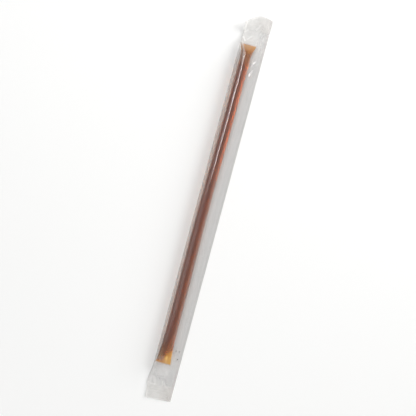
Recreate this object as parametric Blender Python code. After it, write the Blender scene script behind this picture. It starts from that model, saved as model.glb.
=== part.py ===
"""Honey stick: a clear straw full of honey, sealed flat at both ends, in a clear film sleeve, lying down.

The wrapped stick is one closed solid with the sleeve's outer form. The straw shows as a round ridge that
widens and flattens at its two sealed ends. The film drapes from it to a flat margin on the right, and runs
past it into two flat tails whose last stretch is crimped in ribs. The top tail curls up off the table.
Metres, +Z up. The length runs along Y with the top end at +Y, and the wide margin of film is on the +X side.
The origin is in the middle of the base.
"""

import math

import bmesh
import bpy

# The straw. X is measured from the line through the middles of its two welds, and Y along it.
STRAW_TOP = 0.0907
STRAW_BOTTOM = -0.0899
STRAW_RADIUS = 0.003
WELD_LENGTH = 0.0005
WELD_HALF_WIDTH = 0.0043
WELD_HALF_HEIGHT = 0.0003

# The straw bows to the left, most of all at BOW_PLACE.
STRAW_BOW = 0.00055
BOW_PLACE = -0.003
BOW_SPREAD = 0.037

# Its lower half has sunk a little flatter and wider, by this share of its thickness.
SQUASH = 0.06
SQUASH_START = 0.005
SQUASH_FULL = -0.040

# Each end widens towards its weld, the top end over a short stretch and the bottom end over a long one. The
# bottom end is pinched askew, so that its right side thins first.
TOP_FLARE = 0.0032
BOTTOM_FLARE = 0.008
FLARE_LENGTH = 0.024
FLARE_THINNING = 0.0052
PINCH_SKEW = 0.002
SKEW_NEAR = 0.004
SKEW_FAR = 0.010

# The sleeve of film, with a fold along its left side and a sealed seam along its right side.
FILM_THICKNESS = 0.00005
SLEEVE_LEFT = -0.0049
SLEEVE_RIGHT = 0.0094
MARGIN_THICKNESS = 0.00045
SEAM_WIDTH = 0.0014
SEAM_THICKNESS = 0.00035
SEAM_STEP = 0.0002

# Where the film leaves the round straw on each side, and how far it runs on before it lies flat.
LEAVES_LEFT = math.radians(165)
LEAVES_RIGHT = math.radians(35)
FOOT_RUN = 0.0018

# The tails past the straw's ends, and the stretch over which the film comes down to them.
TOP_TAIL = 0.0166
BOTTOM_TAIL = 0.0203
TENT_LENGTH = 0.009

# The crimped bands across both ends of the sleeve.
RIBS = 6
RIB_PITCH = 0.0014
RIB_HEIGHT = 0.0002

# Beside each crimped band the loose upper film puckers along the length.
PUCKER_HEIGHT = 0.0004
PUCKER_PITCH = 0.0031
PUCKER_REACH = 0.0018

# The left edge swells out past the straw's bottom end.
SWELL = 0.0011
SWELL_PLACE = -0.0995
SWELL_SPREAD = 0.005

# The top end curls up on both sides of CURL_MIDDLE, more on the left, so that it looks rounded from above.
CURL_START = 0.094
CURL_MIDDLE = 0.0035
CURL_LOW = 0.0006
CURL_LEFT_BACK = 0.0056
CURL_LEFT_UP = 0.0042
CURL_RIGHT_BACK = 0.0013
CURL_RIGHT_UP = 0.0014

# The bottom end is cut a little out of square.
CUT_SLANT = 0.00075
SLANT_LENGTH = 0.0106

# How finely the solid is divided.
ARC_STEPS = 10
LEFT_DRAPE_STEPS = 3
RIGHT_DRAPE_STEPS = 5
BODY_STEPS = 14
FLARE_STEPS = 12
TENT_STEPS = 6

WRAP_COLOUR = (0.42, 0.24, 0.14, 1)
WRAP_ROUGHNESS = 0.2
SHARP_ANGLE = math.radians(25)

RIDGE_RADIUS = STRAW_RADIUS + FILM_THICKNESS
TOP_END = STRAW_TOP + TOP_TAIL
BOTTOM_END = STRAW_BOTTOM - BOTTOM_TAIL
CRIMP_LENGTH = RIBS * RIB_PITCH


def share(value, start, end):
    """How far value is from start to end, held between 0 and 1."""
    return min(1, max(0, (value - start) / (end - start)))


def blend(start, end, amount):
    return start + (end - start) * amount


def squash(y):
    """How much the straw has sunk flat at one station, as a share of its thickness."""
    return SQUASH * share(y, SQUASH_START, SQUASH_FULL)


def from_weld(y, side=0):
    """How far a station is from the nearer weld, where side runs from -1 at the straw's left to 1 at its right."""
    if y > 0:
        return max(0, STRAW_TOP - WELD_LENGTH - y)
    away = max(0, y - STRAW_BOTTOM - WELD_LENGTH)
    return max(0, away - PINCH_SKEW * side * share(away, 0, SKEW_NEAR) * share(away, FLARE_LENGTH, SKEW_FAR))


def ridge_width(y):
    """Half the ridge's width at one station."""
    away = from_weld(y)
    spread = math.exp(-((away / TOP_FLARE) ** 2)) if y > 0 else math.exp(-away / BOTTOM_FLARE)
    opened = spread * (1 - share(away, 0, FLARE_LENGTH) ** 2)
    return blend(RIDGE_RADIUS * (1 + squash(y)), WELD_HALF_WIDTH, opened)


def past_end(y):
    """How far the film has come down past the straw's end, from 0 at the end to 1 where it lies flat."""
    return share(max(y - STRAW_TOP, STRAW_BOTTOM - y), 0, TENT_LENGTH)


def ridge_half_height(y, side):
    """Half the ridge's height at one station and one side."""
    pressed = math.tanh(from_weld(y, side) / FLARE_THINNING)
    return blend(WELD_HALF_HEIGHT, RIDGE_RADIUS * (1 - squash(y)), pressed) * (1 - past_end(y))


def ridge_middle(y):
    """The ridge's middle at one station, as x and z."""
    x = -STRAW_BOW * math.exp(-(((y - BOW_PLACE) / BOW_SPREAD) ** 2))
    return x, blend(MARGIN_THICKNESS, RIDGE_RADIUS * (1 - squash(y)), (1 - past_end(y)) ** 2)


def drape(start, corner, end, steps):
    """Points after start on the curve that leaves it towards corner and reaches end, which is the last."""
    points = []
    for step in range(1, steps + 1):
        t = step / steps
        near, bend, far = (1 - t) ** 2, 2 * t * (1 - t), t ** 2
        points.append(tuple(near * a + bend * b + far * c for a, b, c in zip(start, corner, end)))
    return points


def section(y):
    """The sleeve's upper film across its length at one station, as (x, z) points from left to right."""
    middle, height = ridge_middle(y)
    half_width = ridge_width(y)
    left = SLEEVE_LEFT - SWELL * math.exp(-(((y - SWELL_PLACE) / SWELL_SPREAD) ** 2))

    def on_ridge(angle):
        side = math.cos(angle)
        return middle + half_width * side, height + ridge_half_height(y, side) * math.sin(angle)

    def foot(angle):
        """Where the line that leaves the ridge at angle comes down to the margin."""
        x, z = on_ridge(angle)
        side = math.cos(angle)
        sideways = half_width * math.sin(angle) / max(ridge_half_height(y, side) * abs(side), FILM_THICKNESS)
        return x + math.copysign(sideways * (z - MARGIN_THICKNESS), side)

    roundness = ridge_half_height(y, 0) / RIDGE_RADIUS
    leave_left = blend(math.pi, LEAVES_LEFT, roundness)
    leave_right = blend(0, LEAVES_RIGHT, roundness)
    left_foot = max(foot(leave_left), left + FILM_THICKNESS)
    seam = SLEEVE_RIGHT - SEAM_WIDTH
    right_foot = min(foot(leave_right), seam - SEAM_STEP - FOOT_RUN * 1.2)

    top = [(left, MARGIN_THICKNESS)]
    start = on_ridge(leave_left)
    top += drape(top[0], (left_foot, MARGIN_THICKNESS), start, LEFT_DRAPE_STEPS)
    for step in range(1, ARC_STEPS + 1):
        top.append(on_ridge(blend(leave_left, leave_right, step / ARC_STEPS)))
    flat = (right_foot + FOOT_RUN, MARGIN_THICKNESS)
    top += drape(top[-1], (right_foot, MARGIN_THICKNESS), flat, RIGHT_DRAPE_STEPS)
    top += [(seam - SEAM_STEP, MARGIN_THICKNESS), (seam, SEAM_THICKNESS), (SLEEVE_RIGHT, SEAM_THICKNESS)]
    return top


def pucker(x, y):
    """How far the loose film stands up beside a crimped band, falling to nothing at both edges of the sleeve."""
    crimp_edge = TOP_END - CRIMP_LENGTH if y > 0 else -BOTTOM_END - CRIMP_LENGTH
    away = max(0, crimp_edge - abs(y)) / PUCKER_REACH
    across = share(x, SLEEVE_LEFT, SLEEVE_LEFT + PUCKER_REACH) * share(x, SLEEVE_RIGHT - SEAM_WIDTH, 0)
    wave = (1 + math.cos(2 * math.pi * x / PUCKER_PITCH)) / 2
    return PUCKER_HEIGHT * away * math.exp(1 - away) * across * wave


def stations():
    """Each place along Y that has a section, with how far its crimp rib lifts it."""
    half_ribs = 2 * RIBS
    crimp = [(CRIMP_LENGTH * step / half_ribs, RIB_HEIGHT * (step % 2)) for step in range(half_ribs + 1)]
    bottom = [(BOTTOM_END + along, lift) for along, lift in crimp]
    top = [(TOP_END - along, lift) for along, lift in reversed(crimp)]

    tent = [TENT_LENGTH * step / TENT_STEPS for step in range(TENT_STEPS + 1)]
    flare = [FLARE_LENGTH * (step / FLARE_STEPS) ** 2 for step in range(FLARE_STEPS + 1)]
    low, high = STRAW_BOTTOM + WELD_LENGTH, STRAW_TOP - WELD_LENGTH
    straw = [STRAW_BOTTOM - away for away in reversed(tent)] + [low + away for away in flare]
    body = low + FLARE_LENGTH, high - FLARE_LENGTH
    straw += [blend(*body, step / BODY_STEPS) for step in range(1, BODY_STEPS)]
    straw += [high - away for away in reversed(flare)] + [STRAW_TOP + away for away in tent]
    return bottom + [(y, 0) for y in straw] + top


def settle(x, y, z):
    """Curls the top tail up and slants the bottom cut."""
    if y > CURL_START:
        amount = share(y, CURL_START, TOP_END) ** 2
        if x < CURL_MIDDLE:
            side = ((CURL_MIDDLE - x) / (CURL_MIDDLE - SLEEVE_LEFT)) ** 2
            back, up = CURL_LEFT_BACK * side, CURL_LEFT_UP * side
        else:
            side = ((x - CURL_MIDDLE) / (SLEEVE_RIGHT - CURL_MIDDLE)) ** 2
            back, up = CURL_RIGHT_BACK * side, CURL_RIGHT_UP * side
        return x, y - back * amount, z + (CURL_LOW + up) * amount
    amount = share(y, BOTTOM_END + SLANT_LENGTH, BOTTOM_END)
    return x, y + CUT_SLANT * amount * share(x, SLEEVE_LEFT, SLEEVE_RIGHT), z


def sleeve_mesh():
    """Upper and lower film as two nets of faces, joined along both sides and across both ends."""
    work = bmesh.new()
    upper = []
    lower = []
    for y, lift in stations():
        points = section(y)
        upper.append([work.verts.new(settle(x, y, z + lift + pucker(x, y))) for x, z in points])
        lower.append([work.verts.new(settle(x, y, lift)) for x, z in points])
    for net in (upper, lower):
        for near, far in zip(net, net[1:]):
            for a, b, c, d in zip(near, near[1:], far[1:], far):
                work.faces.new((a, b, c, d))
    for side in (0, -1):
        over = [row[side] for row in upper]
        under = [row[side] for row in lower]
        for a, b, c, d in zip(over, over[1:], under[1:], under):
            work.faces.new((a, b, c, d))
    for end in (0, -1):
        for a, b, c, d in zip(upper[end], upper[end][1:], lower[end][1:], lower[end]):
            work.faces.new((a, b, c, d))
    bmesh.ops.recalc_face_normals(work, faces=work.faces)

    middle = [(min(v.co[i] for v in work.verts) + max(v.co[i] for v in work.verts)) / 2 for i in (0, 1)]
    bmesh.ops.translate(work, verts=work.verts, vec=(-middle[0], -middle[1], 0))
    mesh = bpy.data.meshes.new("honey_stick")
    work.to_mesh(mesh)
    work.free()
    mesh.shade_smooth()
    mesh.set_sharp_from_angle(angle=SHARP_ANGLE)
    return mesh


def wrap_material():
    """Clear glossy film over amber honey, as one even colour."""
    material = bpy.data.materials.new("film_over_honey")
    material.use_nodes = True
    shader = material.node_tree.nodes["Principled BSDF"]
    shader.inputs["Base Color"].default_value = WRAP_COLOUR
    shader.inputs["Roughness"].default_value = WRAP_ROUGHNESS
    shader.inputs["Metallic"].default_value = 0
    return material


for old in list(bpy.data.objects):
    bpy.data.objects.remove(old)

stick = bpy.data.objects.new("honey_stick", sleeve_mesh())
stick.data.materials.append(wrap_material())
bpy.context.collection.objects.link(stick)
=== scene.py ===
import math

import bmesh
import bpy
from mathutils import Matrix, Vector, noise


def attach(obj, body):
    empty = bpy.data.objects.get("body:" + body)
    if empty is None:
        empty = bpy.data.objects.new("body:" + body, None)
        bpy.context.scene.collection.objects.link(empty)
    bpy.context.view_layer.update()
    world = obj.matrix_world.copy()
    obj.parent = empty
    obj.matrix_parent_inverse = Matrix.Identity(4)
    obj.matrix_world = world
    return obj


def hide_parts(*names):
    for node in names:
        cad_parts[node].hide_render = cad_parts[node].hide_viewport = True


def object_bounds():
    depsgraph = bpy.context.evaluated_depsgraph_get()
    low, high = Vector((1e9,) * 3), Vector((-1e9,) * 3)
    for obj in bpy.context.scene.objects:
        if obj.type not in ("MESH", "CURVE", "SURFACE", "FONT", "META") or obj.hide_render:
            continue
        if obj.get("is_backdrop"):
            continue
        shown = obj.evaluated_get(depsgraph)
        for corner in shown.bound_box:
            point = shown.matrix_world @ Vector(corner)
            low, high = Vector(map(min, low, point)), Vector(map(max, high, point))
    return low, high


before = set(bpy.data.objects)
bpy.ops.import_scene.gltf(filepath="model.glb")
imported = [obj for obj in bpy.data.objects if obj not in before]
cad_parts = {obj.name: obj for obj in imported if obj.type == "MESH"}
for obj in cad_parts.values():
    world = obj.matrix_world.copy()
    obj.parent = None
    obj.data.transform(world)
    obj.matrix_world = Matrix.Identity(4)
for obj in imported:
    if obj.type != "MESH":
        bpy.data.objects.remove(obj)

cad_low, cad_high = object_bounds()

# The straw
# A thin tube of clear polypropylene, extruded and cut to length. Once it is full of honey, each end is pinched
# between heated jaws, which weld it shut and spread it flat, like a fish's tail. Sizes are in millimetres.

MM = 0.001
STRAW_TOP = 90.7
STRAW_BOTTOM = -89.9
STRAW_RADIUS = 2.96
STRAW_BOW = 0.55
BOW_PLACE = -3.0
BOW_SPREAD = 37.0
SQUASH = 0.06
SQUASH_START = 5.0
SQUASH_FULL = -40.0
UNDER_STRAW = 0.07
WELD_LENGTH = 0.5
WELD_HALF_WIDTH = 4.25
WELD_HALF_HEIGHT = 0.22
TOP_FLARE = 3.2
BOTTOM_FLARE = 8.0
FLARE_LENGTH = 24.0
FLARE_THINNING = 6.4
PINCH_SKEW = 2.0
SKEW_NEAR = 4.0
SKEW_FAR = 10.0

# The line through the middles of the straw's two welds, from the sleeve's right edge and top end.
SLEEVE_RIGHT = 9.4
TOP_END = 107.3
LINE_X = cad_high.x / MM - SLEEVE_RIGHT
LINE_Y = cad_high.y / MM - TOP_END


def share(value, start, end):
    """How far value is from start to end, held between 0 and 1."""
    return min(1, max(0, (value - start) / (end - start)))


def blend(start, end, amount):
    return start + (end - start) * amount


def in_frame(x, y, z):
    """A point of the stick, in millimetres from the straw's own line, as a point of the frame in metres."""
    return Vector(((x + LINE_X) * MM, (y + LINE_Y) * MM, z * MM))


def straw_middle(y):
    """The straw's middle at one station, as x and z. It bows to the left, and it rests on the lower film."""
    x = -STRAW_BOW * math.exp(-(((y - BOW_PLACE) / BOW_SPREAD) ** 2))
    return x, UNDER_STRAW + STRAW_RADIUS * (1 - squash(y))


def squash(y):
    """How much the straw has sunk flat at one station, as a share of its height."""
    return SQUASH * share(y, SQUASH_START, SQUASH_FULL)


def from_weld(y, side=0):
    """How far a station is from the nearer weld. The bottom end is pinched askew, so its right side thins first."""
    if y > 0:
        return max(0, STRAW_TOP - WELD_LENGTH - y)
    away = max(0, y - STRAW_BOTTOM - WELD_LENGTH)
    askew = PINCH_SKEW * side * share(away, 0, SKEW_NEAR) * share(away, FLARE_LENGTH, SKEW_FAR)
    return max(0, away - askew)


def tube_width(y, radius, weld_half_width):
    """The half width of a tube of this radius, which spreads where it is pressed flat."""
    away = from_weld(y)
    wide = radius * (1 + squash(y))
    spread = math.exp(-((away / TOP_FLARE) ** 2)) if y > 0 else math.exp(-away / BOTTOM_FLARE)
    return blend(wide, weld_half_width, spread * (1 - share(away, 0, FLARE_LENGTH) ** 2))


def tube_height(y, side, radius, weld_half_height):
    """The half height of that tube, where side runs from -1 at its left to 1 at its right."""
    high = radius * (1 - squash(y))
    return weld_half_height + (high - weld_half_height) * math.tanh(from_weld(y, side) / FLARE_THINNING)


def tube_stations(spacing, flare_steps):
    """Places along the tube from weld to weld, closer together where it flattens."""
    low, high = STRAW_BOTTOM + WELD_LENGTH, STRAW_TOP - WELD_LENGTH
    flare = [FLARE_LENGTH * (step / flare_steps) ** 2 for step in range(flare_steps)]
    count = round((high - low - 2 * FLARE_LENGTH) / spacing)
    body = [blend(low + FLARE_LENGTH, high - FLARE_LENGTH, i / count) for i in range(count + 1)]
    return [low + away for away in flare] + body + [high - away for away in reversed(flare)]


def closed_tube(name, rings):
    """A mesh through rings of points, with both ends filled."""
    points = [in_frame(*point) for ring in rings for point in ring]
    around = len(rings[0])
    faces = []
    for r in range(len(rings) - 1):
        for i in range(around):
            j = (i + 1) % around
            faces.append((r * around + i, (r + 1) * around + i, (r + 1) * around + j, r * around + j))
    faces.append(tuple(range(around)))
    faces.append(tuple(range((len(rings) - 1) * around, len(rings) * around))[::-1])
    mesh = bpy.data.meshes.new(name)
    mesh.from_pydata(points, [], faces)
    mesh.validate()
    mesh.shade_smooth()
    piece = bpy.data.objects.new(name, mesh)
    bpy.context.scene.collection.objects.link(piece)
    return piece


def linear(code):
    """A colour written as an sRGB hex value, as the linear numbers that a shader takes."""
    parts = [int(code[i:i + 2], 16) / 255 for i in (1, 3, 5)]
    return [c / 12.92 if c <= 0.04045 else ((c + 0.055) / 1.055) ** 2.4 for c in parts] + [1]


def add_node(material, kind, settings, inputs):
    """Adds a node, sets it up, and sets or links its inputs."""
    node = material.node_tree.nodes.new(kind)
    for name, value in settings.items():
        setattr(node, name, value)
    for name, value in inputs.items():
        if isinstance(value, bpy.types.NodeSocket):
            material.node_tree.links.new(value, node.inputs[name])
        else:
            node.inputs[name].default_value = value
    return node


def glossy(material, under, roughness, straight_on, gain):
    """Lays a plastic's gloss over the shader under it. Seen from the side, it is stronger by up to gain."""
    gloss = add_node(
        material, "ShaderNodeBsdfAnisotropic", {}, {"Color": linear("#FFFFFF"), "Roughness": roughness}
    )
    facing = add_node(material, "ShaderNodeLayerWeight", {}, {"Blend": 0.5})
    rise = add_node(material, "ShaderNodeMath", {"operation": "POWER"}, {0: facing.outputs["Facing"], 1: 5.0})
    edge = add_node(
        material, "ShaderNodeMath", {"operation": "MULTIPLY_ADD"}, {0: rise.outputs[0], 1: gain, 2: straight_on}
    )
    skin = add_node(
        material, "ShaderNodeMixShader", {}, {"Fac": edge.outputs[0], 1: under.outputs[0], 2: gloss.outputs[0]}
    )
    add_node(material, "ShaderNodeOutputMaterial", {}, {"Surface": skin.outputs[0]})


STRAW_SIDES = 64
STRAW_STATION = 2.0
STRAW_FLARE_STEPS = 30
DRAW_LINE_WIDTH = 0.4
DRAW_LINE_LENGTH = 30.0
WELD_CLOUD = 1.2


def oval(y, radius, weld_half_width, weld_half_height):
    """A ring of points across the straw at one station."""
    x, z = straw_middle(y)
    half_width = tube_width(y, radius, weld_half_width)
    ring = []
    for i in range(STRAW_SIDES):
        turn = 2 * math.pi * i / STRAW_SIDES
        half_height = tube_height(y, math.cos(turn), radius, weld_half_height)
        ring.append((x + half_width * math.cos(turn), y, z + half_height * math.sin(turn)))
    return ring


straw_places = [STRAW_BOTTOM] + tube_stations(STRAW_STATION, STRAW_FLARE_STEPS) + [STRAW_TOP]
straw = closed_tube("straw", [oval(y, STRAW_RADIUS, WELD_HALF_WIDTH, WELD_HALF_HEIGHT) for y in straw_places])
for face in straw.data.polygons:
    y = face.center.y / MM - LINE_Y
    face.material_index = int(y > STRAW_TOP - WELD_LENGTH or y < STRAW_BOTTOM + WELD_LENGTH)

# Clear extruded polypropylene: glossy, but slightly milky in fine lines along the straw, where the die drew it.
polypropylene = bpy.data.materials.new("extruded_clear_polypropylene")
polypropylene.use_nodes = True
polypropylene.node_tree.nodes.clear()
place = add_node(polypropylene, "ShaderNodeTexCoord", {}, {})
milk = add_node(polypropylene, "ShaderNodeBsdfTranslucent", {}, {"Color": linear("#F4EEE6")})
clear = add_node(polypropylene, "ShaderNodeBsdfTransparent", {}, {"Color": linear("#FBFAF8")})
drawn_out = add_node(
    polypropylene,
    "ShaderNodeMapping",
    {},
    {
        "Vector": place.outputs["Object"],
        "Scale": (1 / (DRAW_LINE_WIDTH * MM), 1 / (DRAW_LINE_LENGTH * MM), 1 / (DRAW_LINE_WIDTH * MM)),
    },
)
draw_lines = add_node(
    polypropylene, "ShaderNodeTexNoise", {}, {"Vector": drawn_out.outputs[0], "Scale": 1.0, "Detail": 1.0}
)
milkiness = add_node(
    polypropylene,
    "ShaderNodeMapRange",
    {},
    {"Value": draw_lines.outputs[0], "From Min": 0.35, "From Max": 0.65, "To Min": 0.006, "To Max": 0.026},
)
wall = add_node(
    polypropylene,
    "ShaderNodeMixShader",
    {},
    {"Fac": milkiness.outputs[0], 1: clear.outputs[0], 2: milk.outputs[0]},
)
glossy(polypropylene, wall, roughness=0.12, straight_on=0.015, gain=0.2)
straw.data.materials.append(polypropylene)

# The same plastic where the jaws melted it: two walls run into one, cloudy and a little pink.
welded = bpy.data.materials.new("heat_welded_polypropylene")
welded.use_nodes = True
cloudy = welded.node_tree.nodes["Principled BSDF"]
place = add_node(welded, "ShaderNodeTexCoord", {}, {})
cloud = add_node(
    welded,
    "ShaderNodeTexNoise",
    {},
    {"Vector": place.outputs["Object"], "Scale": 1 / (WELD_CLOUD * MM), "Detail": 2.0},
)
tone = add_node(welded, "ShaderNodeValToRGB", {}, {"Fac": cloud.outputs[0]})
tone.color_ramp.elements[0].position = 0.3
tone.color_ramp.elements[0].color = linear("#E2CDBE")
tone.color_ramp.elements[1].position = 0.7
tone.color_ramp.elements[1].color = linear("#F4E9E0")
welded.node_tree.links.new(tone.outputs[0], cloudy.inputs["Base Color"])
cloudy.inputs["Roughness"].default_value = 0.25
cloudy.inputs["Alpha"].default_value = 0.7
straw.data.materials.append(welded)
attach(straw, "root")

# The honey
# Clear dark amber honey, pumped into the straw until it is full. It has the bore's shape, so it thins to a
# wedge at each weld, where it looks tan. Honey and the straw's wall bend light alike, so the honey reaches
# almost to the straw's outer side.

HONEY_RADIUS = 2.9
HONEY_WELD_HALF_WIDTH = WELD_HALF_WIDTH - 0.08
HONEY_TIP = 0.05
HONEY_STATION = 1.5
HONEY_FLARE_STEPS = 34

# The top end is tan across its whole weld. The bottom end has a gold triangle, widest at the weld and longest
# along its right edge, with a painted highlight in it and a narrow tan strip along the weld.
TOP_TAN = 0.84
GOLD_TOP = 11.0
GOLD_START = -2.0
GOLD_BOTTOM = 9.0
GOLD_SKEW = 7.0
DARK_START = 6.0
DARK_FULL = 11.0
STRIP_TAN = 0.75
STRIP_FADE = 4.0
PAINTED_HIGHLIGHT_X = 1.1
PAINTED_HIGHLIGHT_Y = -86.2
PAINTED_HIGHLIGHT_WIDTH = 0.7
PAINTED_HIGHLIGHT_LENGTH = 1.2
PAINTED_HIGHLIGHT_GOLD = 0.8
FROM_THINNESS = 0.7
FROM_SWIRLS = 0.21
SWIRL_SIZE = 1.8
honey_places = tube_stations(HONEY_STATION, HONEY_FLARE_STEPS)
honey = closed_tube("honey", [oval(y, HONEY_RADIUS, HONEY_WELD_HALF_WIDTH, HONEY_TIP) for y in honey_places])


def thinness_and_highlight(x, y):
    """How thin the honey has become towards a weld, from 0 to 1, with a painted highlight added to the bottom end's
    gold. At the bottom end the right side thins first.
    """
    side = (x - straw_middle(y)[0]) / tube_width(y, HONEY_RADIUS, HONEY_WELD_HALF_WIDTH)
    if y > 0:
        return TOP_TAN - share(from_weld(y), 0, GOLD_TOP)
    away = from_weld(y)
    triangle = 1 - share(away - GOLD_SKEW * side, GOLD_START, GOLD_BOTTOM)
    triangle -= 0.5 * share(away, DARK_START, DARK_FULL)
    strip = STRIP_TAN - away / STRIP_FADE
    # A painted highlight: a small bright gold patch on the bottom end's flare.
    painted_highlight = math.exp(-(((x - PAINTED_HIGHLIGHT_X) / PAINTED_HIGHLIGHT_WIDTH) ** 2) - ((y - PAINTED_HIGHLIGHT_Y) / PAINTED_HIGHLIGHT_LENGTH) ** 2)
    return max(triangle, strip) + PAINTED_HIGHLIGHT_GOLD * painted_highlight


thin = honey.data.attributes.new("thinness_and_highlight", "FLOAT", "POINT")
for vert in honey.data.vertices:
    x, y = vert.co.x / MM - LINE_X, vert.co.y / MM - LINE_Y
    thin.data[vert.index].value = FROM_THINNESS * thinness_and_highlight(x, y)

# Liquid honey: IOR 1.49, pale gold in a thin layer and near black-brown through the whole straw. It is a touch
# rough where it wets the straw's drawn wall. At the ends a matt tan-to-gold layer, in uneven swirls, covers the
# glass: the thin honey's own tan, made bright as painted light that stands in for light shining through it.
amber = bpy.data.materials.new("clear_dark_amber_honey")
amber.use_nodes = True
amber.node_tree.nodes.clear()
liquid = add_node(
    amber,
    "ShaderNodeBsdfPrincipled",
    {},
    {"Base Color": (1, 1, 1, 1), "Roughness": 0.09, "IOR": 1.49, "Transmission Weight": 1.0},
)
place = add_node(amber, "ShaderNodeTexCoord", {}, {})
swirls = add_node(
    amber,
    "ShaderNodeTexNoise",
    {},
    {"Vector": place.outputs["Object"], "Scale": 1 / (SWIRL_SIZE * MM), "Detail": 2.0},
)
ends = add_node(amber, "ShaderNodeAttribute", {"attribute_name": "thinness_and_highlight"}, {})
uneven = add_node(
    amber,
    "ShaderNodeMath",
    {"operation": "MULTIPLY_ADD"},
    {0: swirls.outputs[0], 1: FROM_SWIRLS, 2: ends.outputs["Fac"]},
)
tan_and_light_share = add_node(
    amber,
    "ShaderNodeMapRange",
    {"interpolation_type": "SMOOTHSTEP"},
    {"Value": uneven.outputs[0], "From Min": 0.15, "From Max": 0.63, "To Min": 0.0, "To Max": 0.92},
)
tan = add_node(amber, "ShaderNodeValToRGB", {}, {"Fac": uneven.outputs[0]})
tan.color_ramp.elements[0].position = 0.24
tan.color_ramp.elements[0].color = linear("#B45C1C")
tan.color_ramp.elements[1].position = 0.7
tan.color_ramp.elements[1].color = linear("#D69938")
tan.color_ramp.elements.new(0.95).color = linear("#FFD078")
# The thin honey's tan, partly painted light: a matt layer bright enough to stand in for light passing through.
tan_and_painted_light = add_node(amber, "ShaderNodeBsdfDiffuse", {}, {"Color": tan.outputs[0]})
body = add_node(
    amber, "ShaderNodeMixShader", {}, {"Fac": tan_and_light_share.outputs[0], 1: liquid.outputs[0], 2: tan_and_painted_light.outputs[0]}
)
depth = add_node(amber, "ShaderNodeVolumeAbsorption", {}, {"Color": linear("#F4D06E"), "Density": 640.0})
add_node(amber, "ShaderNodeOutputMaterial", {}, {"Surface": body.outputs[0], "Volume": depth.outputs[0]})
honey.data.materials.append(amber)
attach(honey, "root")

# The sleeve
# A tube of clear cast polypropylene film, folded along its left side and welded in a narrow seam along its
# right. It is over twice as wide as the straw. Both ends are crimped flat between hot ribbed jaws.

SLEEVE_LEFT = -4.9
BOTTOM_END = -110.2
MARGIN_THICKNESS = 0.40
SEAM_WIDTH = 1.4
SEAM_THICKNESS = 0.22
SEAM_STEP = 0.2
FILM_RADIUS = 3.0
FILM_WELD_HALF_WIDTH = WELD_HALF_WIDTH + 0.05
FILM_WELD_HALF_HEIGHT = WELD_HALF_HEIGHT + 0.08
LOWER_FILM = 0.02
LOWEST_TOP_FILM = 0.1

# The upper film leaves the straw at these angles from the right, and runs down to the flat margins beside it.
LEAVES_LEFT = math.radians(165)
LEAVES_RIGHT = math.radians(35)
FOOT_RUN = 1.8
STEEPEST_DRAPE = 0.6
TENT_LENGTH = 9.0

# The crimps. The top one has gone nearly smooth as it curled.
RIBS = 6
RIB_PITCH = 1.4
RIB_HEIGHT = 0.1
TOP_RIB_HEIGHT = 0.04
CRIMP_LENGTH = RIBS * RIB_PITCH
LOWER_CRIMP_EDGE = BOTTOM_END + CRIMP_LENGTH
UPPER_CRIMP_EDGE = TOP_END - CRIMP_LENGTH

# The left edge swells above the lower crimp, the top tail curls up and back, and the bottom end is cut askew.
SWELL = 1.0
SWELL_PLACE = -99.5
SWELL_SPREAD = 5.0
CURL_START = 94.0
CURL_MIDDLE = 3.5
CURL_LOW = 0.6
CURL_LEFT_BACK = 5.6
CURL_LEFT_UP = 4.2
CURL_RIGHT_BACK = 1.3
CURL_RIGHT_UP = 1.4
CUT_SLANT = 0.75
SLANT_START = -99.6

# How finely the film is drawn across its parts and along its body, its ends and its ribs.
LEFT_DRAPE_STEPS = 10
RIDGE_STEPS = 40
RIGHT_DRAPE_STEPS = 14
MARGIN_STEPS = 12
SEAM_STEPS = 5
BODY_END = 68
BODY_STATION = 0.8
END_STATION = 0.3
ROWS_PER_RIB = 8

# Each crease has its height, its width, how bright the painted glint along it is, and the points that it runs
# through.
CREASES = [
    (0.25, 0.45, 1.0, [(1.7, 99.6), (3.3, 102.0)]),
    (0.25, 0.40, 1.1, [(-1.5, 93.3), (0.2, 95.0)]),
    (0.30, 0.45, 1.1, [(-4.1, 93.8), (-2.8, 92.0)]),
    (0.10, 0.45, 0.5, [(-3.6, 97.0), (-2.4, 98.4)]),
    (0.05, 0.40, 0.5, [(6.7, 94.5), (7.1, 97.0)]),
    (0.35, 0.36, 2.8, [(5.75, 82.2), (5.2, 81.3)]),
    (0.30, 0.32, 1.0, [(5.0, 80.9), (4.3, 79.3)]),
    (0.35, 0.34, 1.5, [(5.7, 77.4), (5.0, 75.9)]),
    (0.45, 0.45, 3.2, [(4.65, 74.9), (4.5, 73.9)]),
    (0.05, 0.70, 0.4, [(7.2, 95.5), (6.9, 92.0)]),
    (0.13, 0.70, 0.2, [(6.9, 90.0), (7.2, 60.0)]),
    (0.25, 0.80, 1.3, [(-3.0, -98.2), (-1.5, -101.9)]),
    (0.15, 0.60, 0.5, [(-4.2, -99.0), (-3.6, -102.5)]),
    (0.25, 0.40, 0.5, [(2.3, -99.8), (3.0, -101.6), (3.7, -100.5), (4.6, -101.9), (5.6, -102.2)]),
    (0.20, 0.35, 0.3, [(1.9, -100.6), (2.5, -102.2)]),
    (0.12, 0.60, 1.2, [(-3.5, 90.0), (-1.9, 86.5), (-1.3, 82.0), (-0.9, 78.0)]),
]


def film_ridge(y):
    """The middle, height and half width of the film's ridge, and the share of its own height that it has left."""
    middle, height = straw_middle(y)
    past_end = share(max(y - STRAW_TOP, STRAW_BOTTOM - y), 0, TENT_LENGTH)
    height = blend(MARGIN_THICKNESS, height + 0.02, (1 - past_end) ** 1.5)
    return middle, height, tube_width(y, FILM_RADIUS, FILM_WELD_HALF_WIDTH), 1 - past_end


def parts(steps):
    """The ends of equal steps, as shares of the whole way."""
    return [step / steps for step in range(1, steps + 1)]


def bend(start, corner, end, steps):
    """Points after start on the curve that leaves it towards corner and reaches end, which is the last."""
    points = []
    for part in parts(steps):
        near, turn, far = (1 - part) ** 2, 2 * part * (1 - part), part ** 2
        points.append(tuple(near * a + turn * b + far * c for a, b, c in zip(start, corner, end)))
    return points


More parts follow.
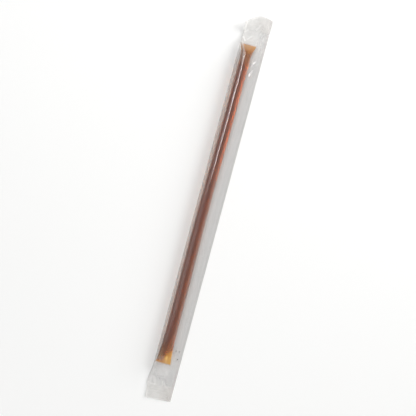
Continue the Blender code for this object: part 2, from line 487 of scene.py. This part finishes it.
def film_section(y):
    """The upper film across the sleeve at one station, as (x, z) points from left to right."""
    middle, height, half_width, standing = film_ridge(y)
    left = SLEEVE_LEFT - SWELL * math.exp(-(((y - SWELL_PLACE) / SWELL_SPREAD) ** 2))

    def half_height(side):
        return standing * tube_height(y, side, FILM_RADIUS, FILM_WELD_HALF_HEIGHT)

    def on_ridge(angle):
        side = math.cos(angle)
        return middle + half_width * side, height + half_height(side) * math.sin(angle)

    def foot(angle):
        x, z = on_ridge(angle)
        side = math.cos(angle)
        sideways = half_width * math.sin(angle) / max(half_height(side) * abs(side), 0.05)
        return x + math.copysign(sideways * (z - MARGIN_THICKNESS), side)

    roundness = half_height(0) / FILM_RADIUS
    leave_left = blend(math.pi, LEAVES_LEFT, roundness)
    leave_right = blend(0, LEAVES_RIGHT, roundness)
    left_foot = max(foot(leave_left), left + 0.05)
    seam = SLEEVE_RIGHT - SEAM_WIDTH
    inner = seam - SEAM_STEP
    ridge_end = on_ridge(leave_right)
    drop = max(ridge_end[1], straw_middle(y)[1]) - MARGIN_THICKNESS
    right_foot = max(foot(leave_right), ridge_end[0] + STEEPEST_DRAPE * drop)
    right_foot = min(right_foot, inner - FOOT_RUN * 1.2)
    flat = right_foot + FOOT_RUN
    top = [(left, MARGIN_THICKNESS)]
    top += bend(top[0], (left_foot, MARGIN_THICKNESS), on_ridge(leave_left), LEFT_DRAPE_STEPS)
    top += [on_ridge(blend(leave_left, leave_right, part)) for part in parts(RIDGE_STEPS)]
    top += bend(top[-1], (right_foot, MARGIN_THICKNESS), (flat, MARGIN_THICKNESS), RIGHT_DRAPE_STEPS)
    top += [(blend(flat, inner, part), MARGIN_THICKNESS) for part in parts(MARGIN_STEPS)]
    top += [(seam - SEAM_STEP / 2, blend(MARGIN_THICKNESS, SEAM_THICKNESS, 0.6)), (seam, SEAM_THICKNESS)]
    top += [(blend(seam, SLEEVE_RIGHT, part), SEAM_THICKNESS) for part in parts(SEAM_STEPS)]
    return top


def film_stations():
    """Places along the sleeve, with how far each lies inside a crimped band, or None."""
    rows = RIBS * ROWS_PER_RIB
    step = CRIMP_LENGTH / rows
    places = [(BOTTOM_END + step * i, step * i) for i in range(rows)]
    for start, end, spacing in (
        (LOWER_CRIMP_EDGE, -BODY_END, END_STATION),
        (-BODY_END, BODY_END, BODY_STATION),
        (BODY_END, UPPER_CRIMP_EDGE, END_STATION),
    ):
        count = round((end - start) / spacing)
        places += [(blend(start, end, i / count), None) for i in range(count)]
    return places + [(UPPER_CRIMP_EDGE + step * i, CRIMP_LENGTH - step * i) for i in range(rows + 1)]


def settle(x, y, z):
    """Curls the top tail up and slants the bottom cut."""
    if y > CURL_START:
        amount = share(y, CURL_START, TOP_END) ** 2
        if x < CURL_MIDDLE:
            side = ((CURL_MIDDLE - x) / (CURL_MIDDLE - SLEEVE_LEFT)) ** 2
            back, up = CURL_LEFT_BACK * side, CURL_LEFT_UP * side
        else:
            side = ((x - CURL_MIDDLE) / (SLEEVE_RIGHT - CURL_MIDDLE)) ** 2
            back, up = CURL_RIGHT_BACK * side, CURL_RIGHT_UP * side
        return x, y - back * amount, z + (CURL_LOW + up) * amount
    amount = share(y, SLANT_START, BOTTOM_END)
    return x, y + CUT_SLANT * amount * share(x, SLEEVE_LEFT, SLEEVE_RIGHT), z


def crease(x, y):
    """How far the creases lift the film at one place, and how much painted glint they add to its haze."""
    lift, painted_glint = 0, 0
    for height, width, glint_strength, path in CREASES:
        if min(path[0][1], path[-1][1]) - 2 * width < y < max(path[0][1], path[-1][1]) + 2 * width:
            nearest = min(distance(x, y, start, end) for start, end in zip(path, path[1:]))
            nearness = math.exp(-((nearest / width) ** 2))
            lift, painted_glint = lift + height * nearness, painted_glint + glint_strength * nearness
    return lift, painted_glint


def distance(x, y, start, end):
    """How far a place is from the straight run between two others."""
    run_x, run_y = end[0] - start[0], end[1] - start[1]
    along = share((x - start[0]) * run_x + (y - start[1]) * run_y, 0, run_x**2 + run_y**2)
    return math.hypot(x - start[0] - along * run_x, y - start[1] - along * run_y)


def slack(x, y, z):
    """The small waves of film that nothing pulls tight. They are lower on the straw and past its welds."""
    long_waves = noise.noise(Vector((x / 3.0, y / 16.0, 0)))
    ripples = noise.noise(Vector((x / 1.4, y / 4.5, 7)))
    loose = share(z, FILM_RADIUS, MARGIN_THICKNESS)
    settled = 1 - 0.65 * share(abs(y), 89, 94)
    return settled * ((0.05 + 0.10 * loose) * long_waves + (0.015 + 0.03 * loose) * ripples)


film_points = []
film_faces = []
film_rows = []
for y, crimp in film_stations():
    rib_height = TOP_RIB_HEIGHT if y > 0 else RIB_HEIGHT
    lift = 0 if crimp is None else rib_height * (1 - math.cos(2 * math.pi * crimp / RIB_PITCH)) / 2
    upper, lower = [], []
    for x, z in film_section(y):
        held = share(x, SLEEVE_LEFT, SLEEVE_LEFT + 1) * share(SLEEVE_RIGHT - x, SEAM_WIDTH, SEAM_WIDTH + 1)
        fold = crease(x, y)[0] * share(SLEEVE_RIGHT - x, 0.3, 1.5)
        wave = fold if crimp is not None else fold + slack(x, y, z) * held
        upper.append(len(film_points))
        film_points.append(in_frame(*settle(x, y, max(z + lift + wave, LOWEST_TOP_FILM))))
        lower.append(len(film_points))
        under = 0 if crimp is None else lift + max(0, fold)
        film_points.append(in_frame(*settle(x, y, under + LOWER_FILM)))
    film_rows.append((upper, lower))
for (near_up, near_low), (far_up, far_low) in zip(film_rows, film_rows[1:]):
    for i in range(len(near_up) - 1):
        film_faces.append((near_up[i], near_up[i + 1], far_up[i + 1], far_up[i]))
        film_faces.append((near_low[i + 1], near_low[i], far_low[i], far_low[i + 1]))
    film_faces.append((near_low[0], near_up[0], far_up[0], far_low[0]))
    film_faces.append((near_up[-1], near_low[-1], far_low[-1], far_up[-1]))
for rows, order in ((film_rows[0], 1), (film_rows[-1], -1)):
    up, low = rows
    for i in range(len(up) - 1):
        film_faces.append((low[i], low[i + 1], up[i + 1], up[i])[::order])
film_mesh = bpy.data.meshes.new("sleeve")
film_mesh.from_pydata(film_points, [], film_faces)
film_mesh.validate()
film_mesh.shade_smooth()

# The film is cloudier where the jaws pulled it, towards both ends. Along its folded left side extra haze is a
# painted reflection, and along its creases extra haze is a painted glint. Beside the top weld the haze is taken
# off the fold as a painted shade. Where it is stretched it is paler and less glossy. Each pair is where the
# change starts and where it is full, along the stick or across it.
TOP_PULL = (74, 93)
BOTTOM_PULL = (-84, -97)
PULL_ACROSS = (-3, 6)
PAINTED_SHADE_X = 4.9
PAINTED_SHADE_WIDTH = 0.7
PAINTED_SHADE_START = (89, 91)
PAINTED_SHADE_END = (104, 98)
PAINTED_REFLECTION_FOLD = (-3.2, -4.4)
HAZY_TOP_WELD = (86, 91)
CLEAR_OF_STRAW = 5.5
TOP_STRETCH = (80, 93)
TOP_CRIMP_STRETCH = (96, 101)
BOTTOM_STRETCH = (-98, -103)
STRETCH_ACROSS = (1, 8)


def off_straw(x, y):
    """How far a place lies beside the straw, from 0 to 1. On the straw the film's haze hardly shows."""
    if not STRAW_BOTTOM < y < STRAW_TOP:
        return 1
    aside = abs(x - straw_middle(y)[0])
    beside = share(aside, tube_width(y, FILM_RADIUS, FILM_WELD_HALF_WIDTH), CLEAR_OF_STRAW)
    return max(beside, 0.6 * share(y, *HAZY_TOP_WELD))


haze_and_painted_light = film_mesh.attributes.new("haze_and_painted_light", "FLOAT", "POINT")
stretched = film_mesh.attributes.new("stretched", "FLOAT", "POINT")
for vert in film_mesh.vertices:
    x, y = vert.co.x / MM - LINE_X, vert.co.y / MM - LINE_Y
    pulled = max(1.3 * share(y, *TOP_PULL), share(y, *BOTTOM_PULL)) * blend(1.25, 0.7, share(x, *PULL_ACROSS))
    # A painted shade: less haze on the fold beside the top weld, so that flank looks darker.
    painted_shade = math.exp(-(((x - PAINTED_SHADE_X) / PAINTED_SHADE_WIDTH) ** 2))
    pulled *= 1 - 0.85 * painted_shade * share(y, *PAINTED_SHADE_START) * share(y, *PAINTED_SHADE_END)
    # The left fold's painted reflection and the creases' painted glints are added to the haze here.
    cloud = pulled * off_straw(x, y) + 0.9 * share(x, *PAINTED_REFLECTION_FOLD) + crease(x, y)[1]
    haze_and_painted_light.data[vert.index].value = cloud
    top_thinned = blend(share(y, *TOP_STRETCH), 0.65, share(y, *TOP_CRIMP_STRETCH))
    thinned = max(top_thinned, 0.6 * share(y, *BOTTOM_STRETCH)) * blend(1, 0.15, share(x, *STRETCH_ACROSS))
    stretched.data[vert.index].value = thinned * off_straw(x, y)
sleeve = bpy.data.objects.new("sleeve", film_mesh)
bpy.context.scene.collection.objects.link(sleeve)

# The places of the crimps' and the seam's finish in the list of materials. The body's comes first.
FINISH_CRIMP, FINISH_SEAM = 1, 2
for face in film_mesh.polygons:
    x, y = face.center.x / MM - LINE_X, face.center.y / MM - LINE_Y
    if y < LOWER_CRIMP_EDGE or y > UPPER_CRIMP_EDGE:
        face.material_index = FINISH_CRIMP
    elif x > SLEEVE_RIGHT - SEAM_WIDTH:
        face.material_index = FINISH_SEAM

# What the film's finish turns to where it is stretched.
STRETCHED_TINT = "#FBFBFB"
STRETCHED_HAZE = "#F3F2F0"
STRETCHED_ROUGHNESS = 0.34
STRETCHED_SHINE = 0.55


def film_finish(name, clear_tint, haze_tint, haze, clouding, patch, roughness, shine):
    """Glossy clear film, with a haze that comes and goes in soft patches of this size in millimetres."""
    film = bpy.data.materials.new(name)
    film.use_nodes = True
    film.node_tree.nodes.clear()
    place = add_node(film, "ShaderNodeTexCoord", {}, {})
    cloud = add_node(
        film,
        "ShaderNodeTexNoise",
        {},
        {"Vector": place.outputs["Object"], "Scale": 1 / (patch * MM), "Detail": 3.0},
    )
    patches = add_node(
        film,
        "ShaderNodeMapRange",
        {},
        {"Value": cloud.outputs[0], "From Min": 0.3, "From Max": 0.7, "To Min": 0.8, "To Max": 1.2},
    )
    pulled = add_node(film, "ShaderNodeAttribute", {"attribute_name": "haze_and_painted_light"}, {})
    cloudiness = add_node(
        film, "ShaderNodeMath", {"operation": "MULTIPLY_ADD"}, {0: pulled.outputs["Fac"], 1: clouding, 2: haze}
    )
    haziness = add_node(
        film,
        "ShaderNodeMath",
        {"operation": "MULTIPLY", "use_clamp": True},
        {0: cloudiness.outputs[0], 1: patches.outputs[0]},
    )
    thinner = add_node(film, "ShaderNodeAttribute", {"attribute_name": "stretched"}, {})
    tint = add_node(film, "ShaderNodeValToRGB", {}, {"Fac": thinner.outputs["Fac"]})
    tint.color_ramp.elements[0].color = linear(clear_tint)
    tint.color_ramp.elements[1].color = linear(STRETCHED_TINT)
    clear = add_node(film, "ShaderNodeBsdfTransparent", {}, {"Color": tint.outputs[0]})
    haze_tone = add_node(film, "ShaderNodeValToRGB", {}, {"Fac": thinner.outputs["Fac"]})
    haze_tone.color_ramp.elements[0].color = linear(haze_tint)
    haze_tone.color_ramp.elements[1].position = 0.6
    haze_tone.color_ramp.elements[1].color = linear(STRETCHED_HAZE)
    milky = add_node(film, "ShaderNodeBsdfDiffuse", {}, {"Color": haze_tone.outputs[0]})
    veil = add_node(
        film, "ShaderNodeMixShader", {}, {"Fac": haziness.outputs[0], 1: clear.outputs[0], 2: milky.outputs[0]}
    )

    def over_stretch(full, start, end):
        """A value that runs from start to end as the film is stretched up to this much."""
        return add_node(
            film,
            "ShaderNodeMapRange",
            {},
            {"Value": thinner.outputs["Fac"], "From Min": 0.0, "From Max": full, "To Min": start, "To Max": end},
        ).outputs[0]

    satin = over_stretch(0.6, roughness, max(roughness, STRETCHED_ROUGHNESS))
    shininess = over_stretch(1.0, shine, shine * STRETCHED_SHINE)
    glossy(film, veil, roughness=satin, straight_on=shininess, gain=0.16)
    return film


# Cast polypropylene film, about 0.04 mm: clear and glossy, so it shows mostly as highlights and a grey veil.
sleeve.data.materials.append(
    film_finish(
        "cast_clear_polypropylene_film",
        clear_tint="#F6F6F6", haze_tint="#F0EEED", haze=0.04, clouding=0.24,
        patch=5.0, roughness=0.10, shine=0.07,
    )
)
# The same film pressed between hot ribbed jaws, which leaves it cloudy and a little creamy.
sleeve.data.materials.append(
    film_finish(
        "crimped_polypropylene_heat_seal",
        clear_tint="#F3F2F1", haze_tint="#F1EEEC", haze=0.10, clouding=0.22,
        patch=3.5, roughness=0.45, shine=0.04,
    )
)
# The same film welded along the side by a smooth hot bar: a narrow, slightly milky stripe.
sleeve.data.materials.append(
    film_finish(
        "bar_welded_polypropylene_seam",
        clear_tint="#F5F5F5", haze_tint="#EFE9E6", haze=0.07, clouding=0.22,
        patch=2.5, roughness=0.14, shine=0.07,
    )
)
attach(sleeve, "root")
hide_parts("honey_stick")

# The dust
# Three dark grains that stuck to the film beside the straw's bottom end. Each is an uneven flattened crumb.

GRAIN_RADIUS = 0.30
GRAIN_FLATNESS = 0.6
DENT_SIZE = 0.12
DENT_DEPTH = 0.35
SHADE_SIZE = 0.1
UNDER_GRAIN = 0.4
GRAIN_PLACES = [(5.26, -81.5), (7.10, -81.6), (7.20, -86.0)]
grains = bmesh.new()
for x, y in GRAIN_PLACES:
    below = in_frame(x, y, 0)
    film_top = max(point.z for point in film_points if math.dist(point[:2], below[:2]) < UNDER_GRAIN * MM) / MM
    middle = in_frame(x, y, film_top + GRAIN_RADIUS / 3)
    for vert in bmesh.ops.create_icosphere(grains, subdivisions=2, radius=GRAIN_RADIUS * MM)["verts"]:
        dent = 1 + DENT_DEPTH * noise.noise(vert.co / (DENT_SIZE * MM) + Vector((x, y, 0)))
        vert.co = middle + Vector((vert.co.x, vert.co.y, vert.co.z * GRAIN_FLATNESS)) * dent
dust_mesh = bpy.data.meshes.new("dust")
grains.to_mesh(dust_mesh)
grains.free()
dust = bpy.data.objects.new("dust", dust_mesh)
bpy.context.scene.collection.objects.link(dust)

# Dry household dust: matt, grey-brown, mottled darker and lighter at random.
grit = bpy.data.materials.new("dry_grey_brown_dust")
grit.use_nodes = True
rough = grit.node_tree.nodes["Principled BSDF"]
place = add_node(grit, "ShaderNodeTexCoord", {}, {})
mottle = add_node(grit, "ShaderNodeTexNoise", {}, {"Vector": place.outputs["Object"], "Scale": 1 / (SHADE_SIZE * MM)})
shades = add_node(grit, "ShaderNodeValToRGB", {}, {"Fac": mottle.outputs[0]})
shades.color_ramp.elements[0].color = linear("#2C2723")
shades.color_ramp.elements[1].color = linear("#5E564F")
grit.node_tree.links.new(shades.outputs[0], rough.inputs["Base Color"])
rough.inputs["Roughness"].default_value = 0.95
dust.data.materials.append(grit)
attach(dust, "root")

# The table
# A plain white table top, painted matt, that the stick lies on. Sizes from here on are in metres.

TABLE_HALF = 2.0
TABLE_HEIGHT = -0.00003
corners = [(-1, -1), (1, -1), (1, 1), (-1, 1)]
table_mesh = bpy.data.meshes.new("table_top")
table_mesh.from_pydata([(x * TABLE_HALF, y * TABLE_HALF, TABLE_HEIGHT) for x, y in corners], [], [(0, 1, 2, 3)])
table_top = bpy.data.objects.new("table_top", table_mesh)
bpy.context.scene.collection.objects.link(table_top)
matt_white = bpy.data.materials.new("matt_white_paint")
matt_white.use_nodes = True
paint = matt_white.node_tree.nodes["Principled BSDF"]
paint.inputs["Base Color"].default_value = linear("#F6F6F5")
paint.inputs["Roughness"].default_value = 0.9
paint.inputs["Specular IOR Level"].default_value = 0.2
table_top.data.materials.append(matt_white)
table_top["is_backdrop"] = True

# The light
# A dim white room with soft boxes low round the table, and long windows that hang parallel to the stick. The
# window on the left draws the white line on the straw, and the honey throws it back as the orange band.

room = bpy.data.worlds.new("white_room")
room.use_nodes = True
room.node_tree.nodes["Background"].inputs["Color"].default_value = (1, 1, 1, 1)
room.node_tree.nodes["Background"].inputs["Strength"].default_value = 0.17
bpy.context.scene.world = room

# The two brightest boxes are hidden from glossy rays, so they light the stick but leave no glints on it.
DIFFUSED_BOXES = ("top_right_box", "bottom_low_box")


def soft_box(name, place, width, length, brightness, turned):
    """A flat lamp at this place and turned this way. With no turn it would face straight down."""
    lamp = bpy.data.lights.new(name, "AREA")
    lamp.shape = "RECTANGLE"
    lamp.size = width
    lamp.size_y = length
    lamp.energy = brightness * math.pi * width * length
    box = bpy.data.objects.new(name, lamp)
    box.location = place
    box.rotation_euler = turned
    box.visible_glossy = name not in DIFFUSED_BOXES
    bpy.context.scene.collection.objects.link(box)


for name, azimuth, height, brightness in (
    ("left_box", 180, 40, 0.9),
    ("right_box", 0, 20, 0.5),
    ("top_right_box", 45, 20, 14.3),
    ("bottom_box", 270, 35, 0.7),
    ("bottom_low_box", 270, 13, 9.0),
    ("bottom_left_box", 225, 35, 0.7),
):
    turn, rise = math.radians(azimuth), math.radians(height)
    place = Vector((math.cos(rise) * math.cos(turn), math.cos(rise) * math.sin(turn), math.sin(rise)))
    soft_box(name, place, 0.5, 0.5, brightness, place.to_track_quat("Z", "Y").to_euler())

WINDOW_DISTANCE = 0.6
for name, lean, start, end, width, brightness in (
    ("window", -20, 0.03, 0.42, 0.084, 8.8),
    ("window_lower_pane", -20, -0.13, 0.03, 0.084, 1.6),
    ("right_window", 20, 0.03, 0.42, 0.084, 0.7),
    ("wide_window", -18, 0.075, 0.525, 0.14, 2.4),
):
    turn = math.radians(lean)
    out = Vector((math.sin(turn), 0, math.cos(turn)))
    place = out * WINDOW_DISTANCE + Vector((0, (start + end) / 2, 0))
    soft_box(name, place, width, end - start, brightness, (0, turn, 0))

# The camera
# It looks straight down, as the photograph does, with the stick's top end leaning to the right.

VIEW_SIDE = 0.228
TILT = math.radians(15.1)
lens = bpy.data.cameras.new("camera")
lens.lens = 100
lens.sensor_width = 36
camera = bpy.data.objects.new("camera", lens)
camera.location = (0, 0, VIEW_SIDE * lens.lens / lens.sensor_width)
camera.rotation_euler = (0, 0, TILT)
bpy.context.scene.collection.objects.link(camera)
bpy.context.scene.camera = camera
bpy.context.scene.view_settings.view_transform = "Standard"
bpy.context.scene.cycles.transparent_max_bounces = 32
bpy.context.scene.cycles.max_bounces = 24
bpy.context.scene.cycles.transmission_bounces = 16

low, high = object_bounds()
